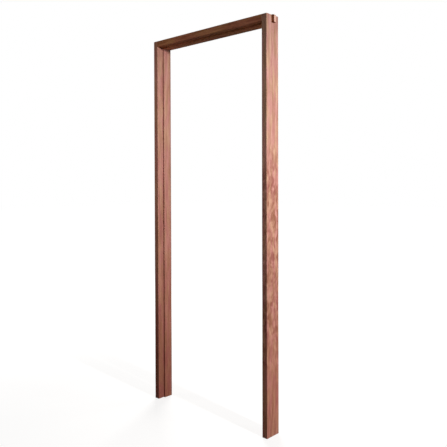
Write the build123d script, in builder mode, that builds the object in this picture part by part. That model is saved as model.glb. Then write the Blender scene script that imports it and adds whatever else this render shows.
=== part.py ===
"""Rebated hardwood door frame: two jambs and a head, held by pinned bridle joints.

Millimetres, +Z up. The origin is on the floor, midway between the jambs and midway
through the frame's depth. The leaf closes into the rebate on the front, the -Y side.
"""
import os

from build123d import *

os.makedirs("parts", exist_ok=True)

# Door leaf that the frame is made for, and the gaps left around it
leaf_width = 762
leaf_height = 2032
leaf_side_gap = 2
leaf_top_gap = 3
leaf_floor_gap = 5

# Section of the jambs: the rebate is cut out of the front inner corner
frame_depth = 94
jamb_thickness = 40
jamb_rebate = 10
rebate_width = 40

# Section of the head: the same depth and rebate width, with a shallower rebate
head_thickness = 38
head_rebate = 6

# Long edges are softened with a small round
arris_radius = 1.5

# Bridle joint: a tongue on each end of the head lies in an open slot in the jamb's top
tongue_thickness = 16
tongue_projection = 16
tongue_top_chamfer = 6
tongue_tip_arris = 1
cheek_clearance = 0.2

# Two dowels lock each joint, driven from the back and stopped inside the front lip
dowel_diameter = 8
dowel_clearance = 0.1
dowel_end_chamfer = 1
dowel_front_cover = 20
dowel_half_pitch_across = 5
dowel_half_pitch_up = 8

# Faces that follow from the sizes above
jamb_front_thickness = jamb_thickness - jamb_rebate
head_front_thickness = head_thickness - head_rebate
rebate_opening = leaf_width + 2 * leaf_side_gap
frame_width = rebate_opening + 2 * jamb_front_thickness
stop_opening = frame_width - 2 * jamb_thickness
rebate_top = leaf_floor_gap + leaf_height + leaf_top_gap
frame_height = rebate_top + head_front_thickness
head_underside = frame_height - head_thickness
front_face = -frame_depth / 2
back_face = frame_depth / 2
stop_face = front_face + rebate_width

# The tongue's front cheek is in line with the stop's face
tongue_centre = stop_face + tongue_thickness / 2
tongue_length = jamb_thickness + tongue_projection
slot_width = tongue_thickness + 2 * cheek_clearance
dowel_length = frame_depth - dowel_front_cover


def dowel_places(outward):
    """Return the two dowels' (x, z) in one corner; outward is -1 on the left, 1 on the right."""
    joint_x = outward * (frame_width - jamb_front_thickness) / 2
    joint_z = (head_underside + frame_height) / 2
    step_x = outward * dowel_half_pitch_across
    lower = (joint_x + step_x, joint_z - dowel_half_pitch_up)
    upper = (joint_x - step_x, joint_z + dowel_half_pitch_up)
    return {"lower": lower, "upper": upper}


for side, outward in (("left", -1), ("right", 1)):
    outer_face = outward * frame_width / 2
    rebate_face = outer_face - outward * jamb_front_thickness
    jamb_centre = outer_face - outward * jamb_thickness / 2
    rebate_centre = rebate_face - outward * jamb_rebate / 2

    with BuildPart() as jamb:
        # L-shaped section, run the full height
        with BuildSketch(Plane.XY) as jamb_section:
            with Locations((jamb_centre, 0)):
                Rectangle(jamb_thickness, frame_depth)
            with Locations((rebate_centre, front_face + rebate_width / 2)):
                Rectangle(jamb_rebate, rebate_width, mode=Mode.SUBTRACT)
            jamb_corners = jamb_section.vertices().sort_by_distance((rebate_face, stop_face))
            fillet(jamb_corners[1:], arris_radius)
        extrude(amount=frame_height)

        # Slot for the tongue, open at the top and through both faces
        with BuildSketch(Plane.XY.offset(head_underside)):
            with Locations((jamb_centre, tongue_centre)):
                Rectangle(jamb_thickness, slot_width)
        extrude(amount=head_thickness, mode=Mode.SUBTRACT)

        # Blind dowel holes from the back face
        with BuildSketch(Plane.XZ.offset(-back_face)):
            with Locations(*dowel_places(outward).values()):
                Circle(dowel_diameter / 2 + dowel_clearance)
        extrude(amount=dowel_length, mode=Mode.SUBTRACT)
    jamb.part.label = f"jamb_{side}"
    export_step(jamb.part, f"parts/jamb_{side}.step")

    for level, (dowel_x, dowel_z) in dowel_places(outward).items():
        with BuildPart() as dowel:
            with BuildSketch(Plane.XZ.offset(-back_face)):
                with Locations((dowel_x, dowel_z)):
                    Circle(dowel_diameter / 2)
            extrude(amount=dowel_length)
            # The leading end is chamfered and the other is flush with the jamb's back
            leading_end = dowel.faces().sort_by(Axis.Y)[0]
            chamfer(leading_end.edges(), dowel_end_chamfer)
        dowel.part.label = f"dowel_{side}_{level}"
        export_step(dowel.part, f"parts/dowel_{side}_{level}.step")

with BuildPart() as head:
    # L-shaped section between the jambs, with the stop hanging below the rebate
    with BuildSketch(Plane.YZ) as head_section:
        with Locations((0, frame_height - head_thickness / 2)):
            Rectangle(frame_depth, head_thickness)
        with Locations((front_face + rebate_width / 2, head_underside + head_rebate / 2)):
            Rectangle(rebate_width, head_rebate, mode=Mode.SUBTRACT)
        head_corners = head_section.vertices().sort_by_distance((stop_face, rebate_top))
        fillet(head_corners[1:], arris_radius)
    extrude(amount=stop_opening / 2, both=True)

    # The front part runs on over the jambs' stops, up to their rebate faces
    with BuildSketch(Plane.YZ) as front_section:
        with Locations((front_face + rebate_width / 2, rebate_top + head_front_thickness / 2)):
            Rectangle(rebate_width, head_front_thickness)
        fillet(front_section.vertices().group_by(Axis.Y)[0], arris_radius)
    extrude(amount=rebate_opening / 2, both=True)

    # A tongue on each end, its tip cut back at the top and its other edges only eased
    for outward in (-1, 1):
        with BuildSketch(Plane.YZ.offset(outward * stop_opening / 2)):
            with Locations((tongue_centre, frame_height - head_thickness / 2)):
                Rectangle(tongue_thickness, head_thickness)
        extrude(amount=outward * tongue_length)
        outermost = -1 if outward > 0 else 0
        tip = head.faces().sort_by(Axis.X)[outermost]
        chamfer(tip.edges().sort_by(Axis.Z)[-1], tongue_top_chamfer)
        tip = head.faces().sort_by(Axis.X)[outermost]
        chamfer(tip.edges(), tongue_tip_arris)

    # Dowel holes through both tongues
    with BuildSketch(Plane.XZ.offset(-back_face)):
        with Locations(*dowel_places(-1).values(), *dowel_places(1).values()):
            Circle(dowel_diameter / 2 + dowel_clearance)
    extrude(amount=dowel_length, mode=Mode.SUBTRACT)
head.part.label = "head"
export_step(head.part, "parts/head.step")
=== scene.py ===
"""Dresses the rebated hardwood door frame and sets up the photographed view of it.

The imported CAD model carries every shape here: two jambs, a head and four dowels. This
script gives each of them its finish, stands the frame on a pale floor in soft studio
light, and places the camera. Lengths are in metres in the frame of the CAD model: +Z up,
the origin on the floor midway between the jambs, and the rebate on the front, the -Y side.
"""

import logging
import math
from collections.abc import Mapping, Sequence
from dataclasses import dataclass, field, replace
from enum import Enum
from typing import Any

import bpy
import numpy as np
from mathutils import Matrix, Vector


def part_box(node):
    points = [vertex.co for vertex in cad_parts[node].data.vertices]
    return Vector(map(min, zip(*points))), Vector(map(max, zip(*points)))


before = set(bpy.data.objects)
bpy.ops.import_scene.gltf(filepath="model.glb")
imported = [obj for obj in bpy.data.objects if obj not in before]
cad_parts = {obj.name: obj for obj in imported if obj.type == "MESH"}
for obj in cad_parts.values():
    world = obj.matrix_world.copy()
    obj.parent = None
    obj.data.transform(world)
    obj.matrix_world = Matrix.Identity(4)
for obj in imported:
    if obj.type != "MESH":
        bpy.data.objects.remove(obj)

log = logging.getLogger("door_frame")

MM = 0.001
WOOD_IOR = 1.5
SENSOR_WIDTH = 36.0
# A Mix node's sockets where it mixes colours: the share, the two colours and the result
SHARE, UNDER, OVER, MIXED = 0, 6, 7, 2
# How far each axis of a noise moves for one unit of its seed
SEED_STEPS = (1.0, 1.7, 2.3)


class Grain(Enum):
    """Which way the wood's grain runs, as the object axes taken for across, across and along."""

    ALONG_X = (1, 2, 0)
    ALONG_Z = (0, 1, 2)


def linear(colour: str, alpha: float = 1.0) -> tuple[float, float, float, float]:
    """Turn an sRGB hex colour into the linear values that a shader takes.

    Args:
        colour: Six hex digits after a hash.
        alpha: Fourth value to put after the three.

    Returns:
        Linear red, green and blue, and alpha.
    """
    parts = [int(colour[i : i + 2], 16) / 255 for i in (1, 3, 5)]
    straight = [c / 12.92 if c <= 0.04045 else ((c + 0.055) / 1.055) ** 2.4 for c in parts]
    return (*straight, alpha)


def add_node(
    tree: bpy.types.NodeTree,
    kind: str,
    inputs: Mapping[int | str, Any] | Sequence[Any] = (),
    output: int | str = 0,
    **settings: Any,
) -> bpy.types.NodeSocket | None:
    """Add a node with its settings and links.

    Args:
        tree: Node tree that takes the node.
        kind: Blender's name for the node's type, without its first word.
        inputs: Sockets to link or values to set, in order or by the input's name or number.
        output: Name or number of the output wanted.
        **settings: The node's own settings.

    Returns:
        The output wanted, or None where the node has none.
    """
    node = tree.nodes.new(f"ShaderNode{kind}")
    for name, value in settings.items():
        setattr(node, name, value)
    for key, value in inputs.items() if isinstance(inputs, Mapping) else enumerate(inputs):
        if isinstance(value, bpy.types.NodeSocket):
            tree.links.new(value, node.inputs[key])
        else:
            node.inputs[key].default_value = value
    return node.outputs[output] if node.outputs else None


def new_material(name: str) -> tuple[bpy.types.Material, bpy.types.NodeTree]:
    """Make an empty node material.

    Args:
        name: The material's name.

    Returns:
        The material and its cleared node tree.
    """
    material = bpy.data.materials.new(name)
    material.use_nodes = True
    material.node_tree.nodes.clear()
    return material, material.node_tree


def seen_share(tree: bpy.types.NodeTree) -> bpy.types.NodeSocket:
    """Tell the rays that show the background from the rays that carry its light.

    Args:
        tree: The node tree that asks.

    Returns:
        1 for rays that the camera sends out, straight or by way of gloss or glass, else 0.
    """
    camera = add_node(tree, "LightPath", output="Is Camera Ray")
    rays = camera.node.outputs
    seen = add_node(tree, "Math", (camera, rays["Is Glossy Ray"]), operation="MAXIMUM")
    return add_node(tree, "Math", (seen, rays["Is Transmission Ray"]), operation="MAXIMUM")


def dress(node: str, material: bpy.types.Material) -> bpy.types.Object:
    """Put one finish on a CAD node, whose shape stays as it is.

    Args:
        node: The CAD node's name.
        material: The finish.

    Returns:
        The node's object.
    """
    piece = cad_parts[node]
    if piece.material_slots:
        for place in piece.material_slots:
            place.material = material
    else:
        piece.data.materials.append(material)
    return piece


@dataclass(frozen=True)
class Board:
    """Where one board was cut from the log, which decides how its grain falls.

    Attributes:
        grain: The way the grain runs.
        pith: The log's centre in the two directions across the grain, in metres.
        shift: How far along the log the board starts, in metres, so that no two match.
        near_tint_with_painted_shade: Colour that the wood is multiplied by where the grain's axis
            is lowest. On a
        jamb it darkens the wood towards the foot, which is painted shade. Both casts were
        matched to the photograph, so they hold some of its light.
        far_tint_with_painted_shade: The same at the other end.
        ends: Where those two ends are along the grain, in metres.
        figure_from: Where wild, wavy figure starts along the grain, in metres.
        figure_to: Where it ends.
        figure_wave: How far the fibres swing sideways inside it, in metres.
        figure_shade: How much darker the figured stretch is than the straight wood, 0 to 1.
        straight_wave: How far the fibres swing elsewhere, in metres.
        contrast: Strength of the stripes, where 1 is plain.
        tongue_from: Distance from the middle at which its tongues leave the jambs, in metres.
    """

    grain: Grain
    pith: tuple[float, float]
    shift: float
    near_tint_with_painted_shade: str = "#ffffff"
    far_tint_with_painted_shade: str = "#ffffff"
    ends: tuple[float, float] = (0.2, 1.9)
    figure_from: float = 0.0
    figure_to: float = 0.0
    figure_wave: float = 0.0
    figure_shade: float = 0.0
    straight_wave: float = 0.004
    contrast: float = 1.0
    tongue_from: float = 0.0


@dataclass(frozen=True)
class GrainLayer:
    """One layer of a wood's pattern: noise drawn out along the grain.

    Attributes:
        width: How wide its marks are across the grain, in metres.
        length: How long they are along it.
        low: Noise value that becomes 0.
        high: Noise value that becomes 1.
        detail: Finer octaves of the noise.
        seed: Places it apart from the other layers, in the noise's own units.
    """

    width: float
    length: float
    low: float
    high: float
    detail: float
    seed: float

    def build(self, tree: bpy.types.NodeTree, space: bpy.types.NodeSocket) -> bpy.types.NodeSocket:
        """Work the layer out: the place divided by the marks' size, noise, and a soft cut.

        Args:
            tree: The material's node tree.
            space: Place in the log, across, across and along the grain.

        Returns:
            A value of 0 to 1.
        """
        place = add_node(
            tree,
            "Mapping",
            {
                "Vector": space,
                "Scale": (1 / self.width, 1 / self.width, 1 / self.length),
                "Location": tuple(step * self.seed for step in SEED_STEPS),
            },
        )
        noise = add_node(tree, "TexNoise", {"Vector": place, "Scale": 1.0, "Detail": self.detail})
        return add_node(
            tree, "MapRange", (noise, self.low, self.high), interpolation_type="SMOOTHSTEP"
        )


@dataclass(frozen=True)
class PlanedHardwood:
    """Red meranti, machine planed and lightly sanded, with no finish on it.

    A pinkish salmon-brown timber of even, coarse texture. Planing leaves a satin surface
    where open pores show as fine dark dashes along the grain, and the grain's slight swing
    gives soft ribbon stripes. Where it was sawn across, the fibre ends are raw: paler,
    rougher and dotted, with faint growth rings. Sanding makes the arrises a little paler.
    """

    deep: str = "#935f50"
    middle: str = "#bc8c7b"
    pale: str = "#d8ae9a"
    rosy: str = "#fff0f8"
    tan: str = "#fdffef"
    pore: str = "#6e4034"
    sawn: str = "#dcb4a2"
    sawn_ring: str = "#b98a77"
    # Painted shade for the tongues where they stand out of the jambs
    tongue_painted_shade: str = "#6b3d30"
    # Real ribbon stripes are 5 to 20 mm wide
    stripes: GrainLayer = GrainLayer(
        width=15 * MM, length=190 * MM, low=0.36, high=0.64, detail=2.0, seed=0.0
    )
    streaks: GrainLayer = GrainLayer(
        width=7 * MM, length=70 * MM, low=0.34, high=0.66, detail=1.0, seed=4.1
    )
    # Real fibres are far too fine to see, so bundles of them are drawn
    fibres: GrainLayer = GrainLayer(
        width=2.2 * MM, length=60 * MM, low=0.25, high=0.75, detail=2.0, seed=5.3
    )
    # Real pores are 0.3 mm by 5 mm, drawn about three times as large to show at all
    pores: GrainLayer = GrainLayer(
        width=1.0 * MM, length=16 * MM, low=0.60, high=0.70, detail=1.0, seed=9.7
    )
    drift: GrainLayer = GrainLayer(
        width=90 * MM, length=360 * MM, low=0.28, high=0.72, detail=1.0, seed=1.9
    )
    hues: GrainLayer = GrainLayer(
        width=26 * MM, length=120 * MM, low=0.36, high=0.64, detail=1.0, seed=11.3
    )
    # Curls of the figure: its wavy grain with painted sheen of cross-lit fibre on it, about as wide
    # and long as the photographed ones
    curls: GrainLayer = GrainLayer(
        width=20 * MM, length=40 * MM, low=0.38, high=0.64, detail=2.0, seed=7.1
    )
    # How much of the tone, from deep to pale, each layer covers
    stripe_strength: float = 0.34
    streak_strength: float = 0.20
    fibre_strength: float = 0.12
    drift_strength: float = 0.16
    curl_and_sheen_strength: float = 0.42
    # How much the late wood of a ring darkens the tone
    late_wood_strength: float = 0.06
    # Share of the pores' own colour where a pore is open
    pore_strength: float = 0.34
    # Lengths over which the wild figure comes and goes
    figure_rise: float = 0.35
    figure_fall: float = 0.30
    swing_width: float = 60 * MM
    swing_length: float = 90 * MM
    swing_detail: float = 1.5
    # Real growth rings here are 3 to 6 mm, drawn at the wide end
    ring_spacing: float = 6 * MM
    late_wood_power: float = 3.0
    sawn_ring_strength: float = 0.5
    sawn_ring_least: float = 0.12
    sawn_pore_strength: float = 0.45
    # The normal's share along the grain from which a face counts as sawn
    sawn_from: float = 0.55
    sawn_to: float = 0.85
    # The normal's largest share, which falls below 1 where an arris is rounded
    arris_from: float = 0.985
    arris_to: float = 0.90
    arris_lift: float = 0.12
    # Share of the painted shade on the tongues, and the length over which it comes in
    tongue_shade_strength: float = 0.55
    tongue_edge: float = 2 * MM
    pore_depth: float = 0.25 * MM
    relief_strength: float = 0.6
    raised_fibres: float = 0.18
    roughness: float = 0.78
    sawn_roughness: float = 0.92
    fibre_polish: float = 0.08
    pore_roughness: float = 0.15
    # Bare fibres scatter most of what a closed surface would reflect
    gloss: float = 0.04

    def fibre_space(
        self,
        tree: bpy.types.NodeTree,
        axes: Sequence[bpy.types.NodeSocket],
        board: Board,
        figure: bpy.types.NodeSocket | float,
    ) -> bpy.types.NodeSocket:
        """Work out each point's place among the log's fibres.

        The place is measured from the pith, and noise swings it sideways, by more inside
        the figured stretch.

        Args:
            tree: The material's node tree.
            axes: Place across, across and along the grain.
            board: Where the board was cut.
            figure: Share of wild figure, 0 to 1.

        Returns:
            The place across, across and along the fibres.
        """
        across_a = add_node(tree, "Math", (axes[0], board.pith[0]), operation="SUBTRACT")
        across_b = add_node(tree, "Math", (axes[1], board.pith[1]), operation="SUBTRACT")
        along = add_node(tree, "Math", (axes[2], board.shift), operation="ADD")
        log_place = add_node(tree, "CombineXYZ", (across_a, across_b, along))
        wide = 1 / self.swing_width
        scaled = add_node(
            tree, "Mapping", {"Vector": log_place, "Scale": (wide, wide, 1 / self.swing_length)}
        )
        noise = add_node(
            tree,
            "TexNoise",
            {"Vector": scaled, "Scale": 1.0, "Detail": self.swing_detail},
            output="Color",
        )
        centred = add_node(tree, "VectorMath", (noise, (0.5, 0.5, 0.5)), operation="SUBTRACT")
        reach = add_node(
            tree,
            "Math",
            (figure, 2 * board.figure_wave, 2 * board.straight_wave),
            operation="MULTIPLY_ADD",
        )
        swing = add_node(tree, "VectorMath", {0: centred, "Scale": reach}, operation="SCALE")
        return add_node(tree, "VectorMath", (log_place, swing), operation="ADD")

    def figure_share(
        self, tree: bpy.types.NodeTree, along: bpy.types.NodeSocket, board: Board
    ) -> bpy.types.NodeSocket | float:
        """Work out where the board's wild figure is, with a slow start and a slow end.

        Args:
            tree: The material's node tree.
            along: Place along the grain.
            board: Where the board was cut.

        Returns:
            Share of wild figure, 0 to 1.
        """
        if board.figure_wave == 0:
            return 0.0
        start, stop = board.figure_from, board.figure_to
        rise = add_node(
            tree,
            "MapRange",
            (along, start, start + self.figure_rise),
            interpolation_type="SMOOTHSTEP",
        )
        fall = add_node(
            tree,
            "MapRange",
            (along, stop, stop - self.figure_fall),
            interpolation_type="SMOOTHSTEP",
        )
        return add_node(tree, "Math", (rise, fall), operation="MULTIPLY")

    def build(self, name: str, board: Board) -> bpy.types.Material:
        """Make the finish for one board.

        The pattern is worked out among the log's own fibres. Layers of noise drawn out
        along them give the tone, from deep to pale, and the hue, from tan to rosy. The
        distance from the pith gives the growth rings, and the finest layer the pores.

        Args:
            name: The material's name.
            board: Where the board was cut.

        Returns:
            The material.
        """
        material, tree = new_material(name)
        place = add_node(tree, "TexCoord", output="Object")
        object_axes = add_node(tree, "SeparateXYZ", (place,)).node.outputs
        axes = [object_axes[i] for i in board.grain.value]
        figure = self.figure_share(tree, axes[2], board)
        fibre_place = self.fibre_space(tree, axes, board, figure)

        # Growth rings, as the distance from the pith in steps that darken towards their end
        flat = add_node(tree, "VectorMath", (fibre_place, (1.0, 1.0, 0.0)), operation="MULTIPLY")
        radius = add_node(tree, "VectorMath", (flat,), output="Value", operation="LENGTH")
        turns = add_node(tree, "Math", (radius, self.ring_spacing), operation="DIVIDE")
        ring = add_node(tree, "Math", (turns,), operation="FRACT")
        late_wood = add_node(tree, "Math", (ring, self.late_wood_power), operation="POWER")

        # Tone, where 0 is the deep colour and 1 the pale one
        fibres = self.fibres.build(tree, fibre_place)
        bold = self.stripe_strength + self.streak_strength
        faint = self.fibre_strength + self.drift_strength
        tone: bpy.types.NodeSocket | float = 0.5 - 0.5 * board.contrast * bold - 0.5 * faint
        for layer, strength in (
            (self.stripes.build(tree, fibre_place), self.stripe_strength * board.contrast),
            (self.streaks.build(tree, fibre_place), self.streak_strength * board.contrast),
            (fibres, self.fibre_strength),
            (self.drift.build(tree, fibre_place), self.drift_strength),
            (late_wood, -self.late_wood_strength),
        ):
            tone = add_node(tree, "Math", (layer, strength, tone), operation="MULTIPLY_ADD")
        if board.figure_wave > 0:
            # The figure's curls, partly wavy grain and partly painted sheen of fibre lit across
            curls = self.curls.build(tree, fibre_place)
            centred = add_node(tree, "Math", (curls, 0.5), operation="SUBTRACT")
            swirl = add_node(tree, "Math", (figure, centred), operation="MULTIPLY")
            tone = add_node(
                tree, "Math", (swirl, self.curl_and_sheen_strength, tone), operation="MULTIPLY_ADD"
            )
            tone = add_node(
                tree, "Math", (figure, -board.figure_shade, tone), operation="MULTIPLY_ADD"
            )
        shadow_half = add_node(tree, "MapRange", (tone, 0.0, 0.5))
        light_half = add_node(tree, "MapRange", (tone, 0.5, 1.0))
        wood = add_node(
            tree,
            "Mix",
            {SHARE: shadow_half, UNDER: linear(self.deep), OVER: linear(self.middle)},
            MIXED,
            data_type="RGBA",
        )
        wood = add_node(
            tree,
            "Mix",
            {SHARE: light_half, UNDER: wood, OVER: linear(self.pale)},
            MIXED,
            data_type="RGBA",
        )

        # Hue, and the tint that changes slowly from one end of the board to the other. On the jambs
        # it is painted shade, darker towards the foot
        hues = self.hues.build(tree, fibre_place)
        tint = add_node(
            tree,
            "Mix",
            {SHARE: hues, UNDER: linear(self.tan), OVER: linear(self.rosy)},
            MIXED,
            data_type="RGBA",
        )
        painted_shade_tint_share = add_node(tree, "MapRange", (axes[2], *board.ends))
        painted_shade_tint = add_node(
            tree,
            "Mix",
            {SHARE: painted_shade_tint_share, UNDER: linear(board.near_tint_with_painted_shade), OVER: linear(board.far_tint_with_painted_shade)},
            MIXED,
            data_type="RGBA",
        )
        wood = add_node(
            tree,
            "Mix",
            {SHARE: 1.0, UNDER: wood, OVER: tint},
            MIXED,
            data_type="RGBA",
            blend_type="MULTIPLY",
        )
        pores = self.pores.build(tree, fibre_place)
        pore_share = add_node(tree, "Math", (pores, self.pore_strength), operation="MULTIPLY")
        wood = add_node(
            tree,
            "Mix",
            {SHARE: pore_share, UNDER: wood, OVER: linear(self.pore)},
            MIXED,
            data_type="RGBA",
        )

        # A normal along the grain means a sawn end, and a slanting one an arris
        turned = add_node(
            tree, "VectorMath", (place.node.outputs["Normal"],), operation="ABSOLUTE"
        )
        facing = add_node(tree, "SeparateXYZ", (turned,)).node.outputs
        square_a, square_b, end = (facing[i] for i in board.grain.value)
        sawn_share = add_node(tree, "MapRange", (end, self.sawn_from, self.sawn_to))
        squarest = add_node(tree, "Math", (square_a, square_b), operation="MAXIMUM")
        squarest = add_node(tree, "Math", (squarest, end), operation="MAXIMUM")
        arris = add_node(
            tree, "MapRange", (squarest, self.arris_from, self.arris_to, 0.0, self.arris_lift)
        )
        wood = add_node(
            tree,
            "Mix",
            {SHARE: arris, UNDER: wood, OVER: linear(self.pale)},
            MIXED,
            data_type="RGBA",
        )
        if board.tongue_from > 0:
            # Where the tongues stand out of the jambs, their cheeks, top and underside get painted
            # shade, and their sawn ends are left pale
            reach = add_node(tree, "Math", (axes[2],), operation="ABSOLUTE")
            start = board.tongue_from - self.tongue_edge
            tongue_shade_share = add_node(
                tree, "MapRange", (reach, start, board.tongue_from, 0.0, self.tongue_shade_strength)
            )
            wood = add_node(
                tree,
                "Mix",
                {SHARE: tongue_shade_share, UNDER: wood, OVER: linear(self.tongue_painted_shade)},
                MIXED,
                data_type="RGBA",
            )
        wood = add_node(
            tree,
            "Mix",
            {SHARE: 1.0, UNDER: wood, OVER: painted_shade_tint},
            MIXED,
            data_type="RGBA",
            blend_type="MULTIPLY",
        )
        ring_share = add_node(
            tree,
            "Math",
            (late_wood, self.sawn_ring_strength, self.sawn_ring_least),
            operation="MULTIPLY_ADD",
        )
        sawn = add_node(
            tree,
            "Mix",
            {SHARE: ring_share, UNDER: linear(self.sawn), OVER: linear(self.sawn_ring)},
            MIXED,
            data_type="RGBA",
        )
        dots = add_node(tree, "Math", (pores, self.sawn_pore_strength), operation="MULTIPLY")
        sawn = add_node(
            tree,
            "Mix",
            {SHARE: dots, UNDER: sawn, OVER: linear(self.pore)},
            MIXED,
            data_type="RGBA",
        )
        colour = add_node(
            tree, "Mix", {SHARE: sawn_share, UNDER: wood, OVER: sawn}, MIXED, data_type="RGBA"
        )

        # Pores and raised fibres as relief, and roughness that follows them
        raised = add_node(tree, "Math", (fibres, self.raised_fibres), operation="MULTIPLY")
        height = add_node(tree, "Math", (pores, -1.0, raised), operation="MULTIPLY_ADD")
        relief = add_node(
            tree,
            "Bump",
            {"Strength": self.relief_strength, "Distance": self.pore_depth, "Height": height},
        )
        rough = add_node(
            tree,
            "Math",
            (fibres, -self.fibre_polish, self.roughness + self.fibre_polish / 2),
            operation="MULTIPLY_ADD",
        )
        rough = add_node(
            tree, "Math", (pores, self.pore_roughness, rough), operation="MULTIPLY_ADD"
        )
        rise = self.sawn_roughness - self.roughness
        rough = add_node(
            tree, "Math", (sawn_share, rise, rough), operation="MULTIPLY_ADD", use_clamp=True
        )
        surface = add_node(
            tree,
            "BsdfPrincipled",
            {
                "Base Color": colour,
                "Roughness": rough,
                "IOR": WOOD_IOR,
                "Specular IOR Level": self.gloss,
                "Normal": relief,
            },
        )
        add_node(tree, "OutputMaterial", {"Surface": surface})
        return material


@dataclass(frozen=True)
class TurnedDowelStock:
    """Beech dowel, turned and cut flush with a fine saw, dry and unfinished.

    A pale, even timber beside the red of the frame, with short darker ray flecks on the
    round and a close, dotted end that looks a little darker where it soaked up glue.
    """

    pale: str = "#d9b58e"
    deep: str = "#b98d63"
    fleck: str = "#9a6c47"
    glue: str = "#a87f55"
    # Ray flecks are 0.5 mm by 3 mm, drawn a little longer to show
    flecks: GrainLayer = GrainLayer(
        width=0.6 * MM, length=5 * MM, low=0.56, high=0.70, detail=2.0, seed=0.0
    )
    fleck_depth: float = 0.1 * MM
    relief_strength: float = 0.5
    ring_spacing: float = 1.6 * MM
    # The stock's pith lies beside the corner's dowels
    pith_offset: tuple[float, float] = (31 * MM, 17 * MM)
    glue_share: float = 0.35
    roughness: float = 0.75
    gloss: float = 0.10

    def build(self, name: str, centre: tuple[float, float]) -> bpy.types.Material:
        """Make the finish for the dowels of one corner.

        Rings are worked out from the distance to a pith beside the dowels, and the flecks
        are noise drawn out along the dowel.

        Args:
            name: The material's name.
            centre: The corner's place in x and z, in metres.

        Returns:
            The material.
        """
        material, tree = new_material(name)
        place = add_node(tree, "TexCoord", output="Object")
        x, y, z = add_node(tree, "SeparateXYZ", (place,)).node.outputs
        across_a = add_node(tree, "Math", (x, self.pith_offset[0] - centre[0]), operation="ADD")
        across_b = add_node(tree, "Math", (z, self.pith_offset[1] - centre[1]), operation="ADD")
        local = add_node(tree, "CombineXYZ", (across_a, across_b, y))
        flat = add_node(tree, "CombineXYZ", (across_a, across_b, 0.0))
        radius = add_node(tree, "VectorMath", (flat,), output="Value", operation="LENGTH")
        turns = add_node(tree, "Math", (radius, self.ring_spacing), operation="DIVIDE")
        ring = add_node(tree, "Math", (turns,), operation="FRACT")
        wood = add_node(
            tree,
            "Mix",
            {SHARE: ring, UNDER: linear(self.pale), OVER: linear(self.deep)},
            MIXED,
            data_type="RGBA",
        )
        flecks = self.flecks.build(tree, local)
        wood = add_node(
            tree,
            "Mix",
            {SHARE: flecks, UNDER: wood, OVER: linear(self.fleck)},
            MIXED,
            data_type="RGBA",
        )
        turned = add_node(tree, "VectorMath", (place.node.outputs["Normal"],), operation="ABSOLUTE")
        end = add_node(tree, "SeparateXYZ", (turned,), output="Y")
        soaked = add_node(tree, "Math", (end, self.glue_share), operation="MULTIPLY")
        wood = add_node(
            tree,
            "Mix",
            {SHARE: soaked, UNDER: wood, OVER: linear(self.glue)},
            MIXED,
            data_type="RGBA",
        )
        relief = add_node(
            tree,
            "Bump",
            {"Strength": self.relief_strength, "Distance": self.fleck_depth, "Height": flecks},
            invert=True,
        )
        surface = add_node(
            tree,
            "BsdfPrincipled",
            {
                "Base Color": wood,
                "Roughness": self.roughness,
                "IOR": WOOD_IOR,
                "Specular IOR Level": self.gloss,
                "Normal": relief,
            },
        )
        add_node(tree, "OutputMaterial", {"Surface": surface})
        return material


@dataclass(frozen=True)
class PaperFloor:
    """Matt white background paper, rolled out flat.

    It looks almost plain white, with the frame's own soft shadow on it. The camera sees
    most of its white as an even tone of strength under 1, the rest is real light on the
    paper, which is what the shadow takes away. Far out, where little light falls, the even
    tone rises to 1, so that the floor runs into the white behind it. Between the two, a
    faint haze is left where the light falls off sooner than the tone rises.
    """

    paper: str = "#454443"
    seen_paper: str = "#8d8b89"
    near_tone: float = 0.79
    far_tone: float = 1.0
    near_radius: float = 0.9
    far_radius: float = 3.5

    def build(self, name: str) -> bpy.types.Material:
        """Make the paper.

        Args:
            name: The material's name.

        Returns:
            The material.
        """
        material, tree = new_material(name)
        place = add_node(tree, "TexCoord", output="Object")
        radius = add_node(tree, "VectorMath", (place,), output="Value", operation="LENGTH")
        tone = add_node(
            tree,
            "MapRange",
            (radius, self.near_radius, self.far_radius, self.near_tone, self.far_tone),
            interpolation_type="SMOOTHSTEP",
        )
        lit = add_node(tree, "BsdfDiffuse", {"Color": linear(self.paper)})
        shaded = add_node(tree, "BsdfDiffuse", {"Color": linear(self.seen_paper)})
        even = add_node(tree, "Emission", {"Color": linear("#ffffff"), "Strength": tone})
        shown = add_node(tree, "AddShader", (shaded, even))
        both = add_node(tree, "MixShader", (seen_share(tree), lit, shown))
        add_node(tree, "OutputMaterial", {"Surface": both})
        return material


@dataclass
class Jamb:
    """One upright of the frame, an L-shaped section with the rebate on its inner corner.

    Attributes:
        node: The CAD node's name.
        board: Where the board was cut from the log.
    """

    node: str
    board: Board

    def build(self, finish: PlanedHardwood) -> bpy.types.Object:
        """Dress the CAD node.

        Args:
            finish: The wood's finish.

        Returns:
            The jamb's object.
        """
        material = finish.build(f"planed_red_meranti_{self.node}", self.board)
        return dress(self.node, material)


@dataclass
class Head:
    """The top rail, with its stop and its two tongues.

    Attributes:
        node: The CAD node's name.
        board: Where the board was cut from the log.
    """

    node: str
    board: Board

    def build(self, finish: PlanedHardwood) -> bpy.types.Object:
        """Dress the CAD node.

        Args:
            finish: The wood's finish.

        Returns:
            The head's object.
        """
        outer_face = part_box("jamb_right")[1].x
        board = replace(self.board, tongue_from=outer_face)
        material = finish.build(f"planed_red_meranti_{self.node}", board)
        return dress(self.node, material)


@dataclass
class CornerDowels:
    """The two dowels that lock one corner, driven in from the back.

    Attributes:
        side: Which corner, left or right.
        levels: The dowels' names within the corner.
    """

    side: str
    levels: tuple[str, ...] = ("lower", "upper")

    def build(self, finish: TurnedDowelStock) -> list[bpy.types.Object]:
        """Dress the corner's CAD nodes.

        Args:
            finish: The dowels' finish.

        Returns:
            The dowels' objects.
        """
        names = [f"dowel_{self.side}_{level}" for level in self.levels]
        low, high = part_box(names[0])
        centre = ((low.x + high.x) / 2, (low.z + high.z) / 2)
        material = finish.build(f"turned_beech_dowels_{self.side}", centre)
        return [dress(name, material) for name in names]


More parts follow.
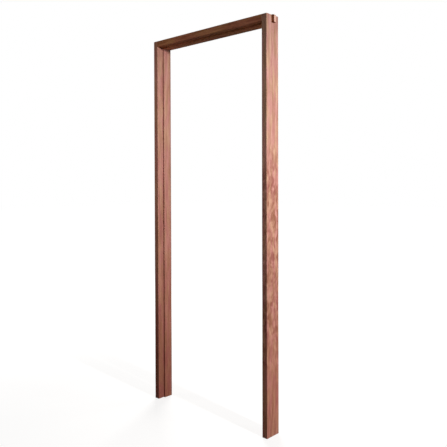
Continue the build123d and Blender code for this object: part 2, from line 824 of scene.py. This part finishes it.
@dataclass
class StudioFloor:
    """The paper that the frame stands on.

    Attributes:
        half_width: Half the paper's side, in metres.
        steps: Squares along each side of the mesh.
    """

    half_width: float = 30.0
    steps: int = 8

    def build(self, finish: PaperFloor) -> bpy.types.Object:
        """Make the floor: a grid of points over x and y at height 0, joined into squares.

        Args:
            finish: The paper.

        Returns:
            The floor's object.
        """
        side = np.linspace(-self.half_width, self.half_width, self.steps + 1)
        x, y = np.meshgrid(side, side)
        points = np.stack([x.ravel(), y.ravel(), np.zeros(x.size)], axis=1)
        row = self.steps + 1
        corner = (np.arange(self.steps)[:, None] * row + np.arange(self.steps)).ravel()
        squares = np.stack([corner, corner + 1, corner + row + 1, corner + row], axis=1)
        mesh = bpy.data.meshes.new("paper_floor")
        mesh.from_pydata(points.tolist(), [], squares.tolist())
        mesh.materials.append(finish.build("background_paper"))
        floor = bpy.data.objects.new("paper_floor", mesh)
        bpy.context.scene.collection.objects.link(floor)
        return floor


class Lamp(Enum):
    """The kinds of lamp in the studio."""

    SOFT_BOX = "AREA"
    FLOOD = "SPOT"


@dataclass(frozen=True)
class StudioLamp:
    """One lamp of the studio.

    Attributes:
        name: The lamp's name.
        kind: A soft box or a flood.
        place: Where it stands, in metres.
        aim: The point it is turned to.
        power: Its power in watts.
        colour: Its colour as sRGB hex.
        size: A soft box's width and height, in metres. A flood takes the first as its radius.
        cone: A flood's full angle in degrees.
    """

    name: str
    kind: Lamp
    place: tuple[float, float, float]
    aim: tuple[float, float, float]
    power: float
    colour: str = "#ffffff"
    size: tuple[float, float] = (1.0, 1.0)
    cone: float = 80.0

    def build(self) -> bpy.types.Object:
        """Hang the lamp and turn it to its aim.

        Returns:
            The lamp's object.
        """
        data = bpy.data.lights.new(self.name, self.kind.value)
        data.energy = self.power
        data.color = linear(self.colour)[:3]
        if self.kind is Lamp.SOFT_BOX:
            data.shape = "RECTANGLE"
            data.size, data.size_y = self.size
        else:
            data.shadow_soft_size = self.size[0]
            data.spot_size = math.radians(self.cone)
            data.spot_blend = 1.0
        lamp = bpy.data.objects.new(self.name, data)
        bpy.context.scene.collection.objects.link(lamp)
        lamp.location = self.place
        # The boxes stand where the camera looks, so it doesn't see them
        lamp.visible_camera = False
        direction = Vector(self.aim) - Vector(self.place)
        lamp.rotation_mode = "QUATERNION"
        lamp.rotation_quaternion = direction.to_track_quat("-Z", "Y")
        return lamp


@dataclass
class Studio:
    """The lamps and the world's even light.

    Attributes:
        lamps: The lamps.
        ambient: The even light's colour as sRGB hex.
        ambient_strength: Its strength.
    """

    lamps: tuple[StudioLamp, ...] = (
        StudioLamp(
            "key_flood",
            Lamp.FLOOD,
            place=(3.3, -0.42, 2.15),
            aim=(0.1, 0.0, 1.0),
            power=385.0,
            size=(0.07, 0.07),
            cone=70.0,
        ),
        StudioLamp(
            "spot_flood",
            Lamp.FLOOD,
            place=(3.3, -0.42, 2.15),
            aim=(0.1, 0.0, 1.4),
            power=195.0,
            size=(0.07, 0.07),
            cone=31.0,
        ),
        StudioLamp(
            "low_flood",
            Lamp.FLOOD,
            place=(2.9, 0.75, 0.9),
            aim=(0.4, 0.0, 0.25),
            power=45.0,
            size=(0.1, 0.1),
            cone=34.0,
        ),
        StudioLamp(
            "warm_flood",
            Lamp.FLOOD,
            place=(-1.9, -1.3, 1.95),
            aim=(-0.35, 0.0, 1.35),
            power=58.0,
            colour="#ffebd8",
            size=(0.25, 0.25),
            cone=75.0,
        ),
        StudioLamp(
            "back_box",
            Lamp.SOFT_BOX,
            place=(0.9, 3.6, 1.3),
            aim=(0.0, 0.0, 1.3),
            power=34.0,
            size=(1.2, 1.2),
        ),
        StudioLamp(
            "rear_box",
            Lamp.SOFT_BOX,
            place=(-2.3, 2.5, 3.3),
            aim=(0.0, 0.0, 1.1),
            power=160.0,
            size=(1.6, 1.6),
        ),
    )
    ambient: str = "#fff4ee"
    ambient_strength: float = 0.015

    def build(self) -> list[bpy.types.Object]:
        """Hang the lamps and set the world.

        Returns:
            The lamps' objects.
        """
        world = bpy.data.worlds.new("studio_white")
        bpy.context.scene.world = world
        world.use_nodes = True
        tree = world.node_tree
        tree.nodes.clear()
        even = add_node(
            tree, "Background", {"Color": linear(self.ambient), "Strength": self.ambient_strength}
        )
        white = add_node(tree, "Background", {"Color": linear("#ffffff"), "Strength": 1.0})
        both = add_node(tree, "MixShader", (seen_share(tree), even, white))
        add_node(tree, "OutputWorld", {"Surface": both})
        return [lamp.build() for lamp in self.lamps]


@dataclass
class PhotoCamera:
    """The photographer's camera, at about chest height in front and to the right.

    It was fitted to the frame's edges in the photograph.

    Attributes:
        place: Where it stands, in metres.
        turn: Degrees it is turned to the left of straight ahead, which is +Y.
        tilt: Degrees that it looks up, below 0 for down.
        lean: Degrees that its right side is raised.
        lens: Focal length in millimetres on a 36 mm sensor.
        shift: Share of the picture's width that the lens is raised.
    """

    place: tuple[float, float, float] = (2.1133, -2.2311, 1.2298)
    turn: float = 42.250
    tilt: float = -0.785
    lean: float = -0.157
    lens: float = 45.842
    shift: float = -0.0638

    def build(self) -> bpy.types.Object:
        """Place the camera and make it the scene's own.

        Returns:
            The camera's object.
        """
        data = bpy.data.cameras.new("photo_camera")
        data.sensor_width = SENSOR_WIDTH
        data.lens = self.lens
        data.shift_y = self.shift
        camera = bpy.data.objects.new("photo_camera", data)
        bpy.context.scene.collection.objects.link(camera)
        turned = Matrix.Rotation(math.radians(self.turn), 4, "Z")
        raised = Matrix.Rotation(math.radians(90 + self.tilt), 4, "X")
        leaned = Matrix.Rotation(math.radians(self.lean), 4, "Z")
        camera.matrix_world = Matrix.Translation(self.place) @ turned @ raised @ leaned
        bpy.context.scene.camera = camera
        return camera


@dataclass
class DoorFrame:
    """The whole frame: two jambs, the head between them, and the dowels in its corners."""

    wood: PlanedHardwood = field(default_factory=PlanedHardwood)
    dowel_wood: TurnedDowelStock = field(default_factory=TurnedDowelStock)
    left: Jamb = field(
        default_factory=lambda: Jamb(
            "jamb_left",
            Board(
                grain=Grain.ALONG_Z,
                pith=(-0.39, 0.21),
                shift=4.3,
                # Painted shade: this tint darkens the jamb towards its foot
                near_tint_with_painted_shade="#ddbfb9",
                far_tint_with_painted_shade="#fbf8fb",
                ends=(0.2, 1.5),
                contrast=0.6,
            ),
        )
    )
    right: Jamb = field(
        default_factory=lambda: Jamb(
            "jamb_right",
            Board(
                grain=Grain.ALONG_Z,
                pith=(0.34, -0.19),
                shift=0.0,
                # Painted shade: this tint darkens the jamb towards its foot
                near_tint_with_painted_shade="#fce6e4",
                far_tint_with_painted_shade="#f1fbff",
                contrast=0.8,
                figure_from=0.20,
                figure_to=1.55,
                figure_wave=0.022,
                figure_shade=0.06,
                straight_wave=0.005,
            ),
        )
    )
    head: Head = field(
        default_factory=lambda: Head(
            "head",
            Board(
                grain=Grain.ALONG_X,
                pith=(0.16, 1.97),
                shift=2.7,
                near_tint_with_painted_shade="#ffeccb",
                far_tint_with_painted_shade="#ffeccb",
                straight_wave=0.003,
            ),
        )
    )

    def build(self) -> list[bpy.types.Object]:
        """Dress every piece of the frame.

        Returns:
            The pieces' objects.
        """
        pieces = [board.build(self.wood) for board in (self.left, self.right, self.head)]
        for side in ("left", "right"):
            pieces += CornerDowels(side).build(self.dowel_wood)
        return pieces


def main() -> None:
    """Dress the frame, set up the studio and the camera, and report each piece."""
    logging.basicConfig(level=logging.INFO, format="%(name)s: %(message)s")
    bpy.context.scene.view_settings.view_transform = "Standard"
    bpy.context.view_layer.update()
    for piece in DoorFrame().build():
        low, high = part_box(piece.name)
        size = (high - low) / MM
        finish = piece.material_slots[0].name
        log.info("%s, %.0f x %.0f x %.0f mm, in %s", piece.name, *size, finish)
    floor = StudioFloor().build(PaperFloor())
    log.info("%s laid", floor.name)
    for lamp in Studio().build():
        log.info("%s hung", lamp.name)
    camera = PhotoCamera().build()
    place = tuple(round(v, 3) for v in camera.matrix_world.translation)
    log.info("%s placed at %s", camera.name, place)


if __name__ == "__main__":
    main()
